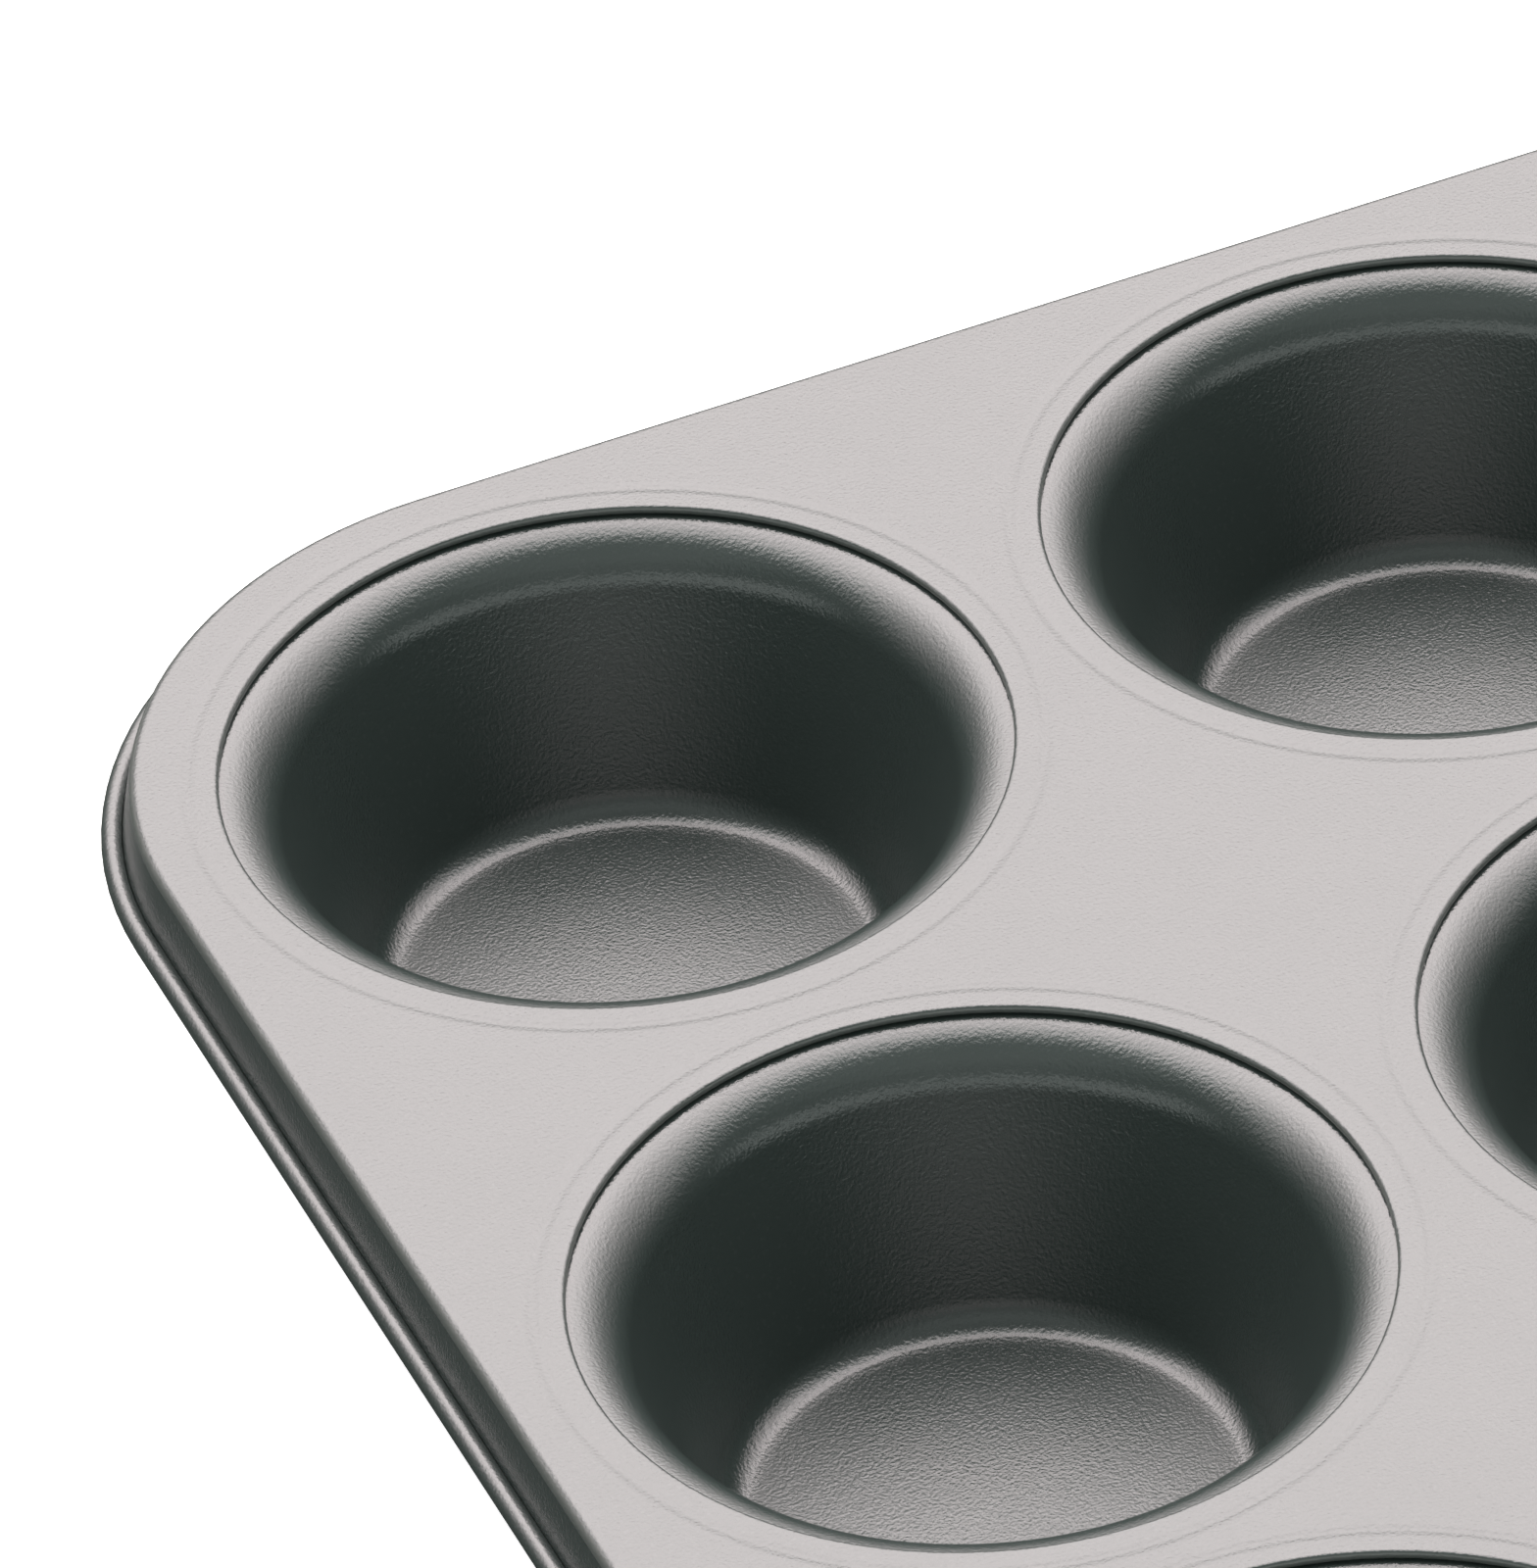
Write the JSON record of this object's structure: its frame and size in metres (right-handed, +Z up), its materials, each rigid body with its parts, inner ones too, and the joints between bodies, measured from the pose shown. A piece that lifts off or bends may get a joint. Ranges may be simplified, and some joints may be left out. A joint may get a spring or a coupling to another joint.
{
  "type": "muffin tin",
  "caption": "Rectangular sheet-metal muffin tin: deep tapered cups seamed into a flat frame sheet with round corners and a wired rim bead.",
  "frame": {"origin": "on the surface that the tin stands on, under the middle of the tin", "axes": "+X along the long side, +Y along the short side towards the back row of cups, +Z up out of the cups"},
  "size_m": [0.35, 0.2656, 0.0277],
  "materials": {
    "nonstick_coating": "satin dark grey non-stick coating with a fine metallic fleck, on steel sheet",
    "wire_steel": "plain drawn steel wire"
  },
  "bodies": {
    "root": {"cup_r1_c1": "nonstick_coating", "cup_r1_c2": "nonstick_coating", "cup_r1_c3": "nonstick_coating", "cup_r1_c4": "nonstick_coating", "cup_r2_c1": "nonstick_coating", "cup_r2_c2": "nonstick_coating", "cup_r2_c3": "nonstick_coating", "cup_r2_c4": "nonstick_coating", "cup_r3_c1": "nonstick_coating", "cup_r3_c2": "nonstick_coating", "cup_r3_c3": "nonstick_coating", "cup_r3_c4": "nonstick_coating", "frame_sheet": "nonstick_coating", "rim_wire": "wire_steel"}
  },
  "joints": []
}
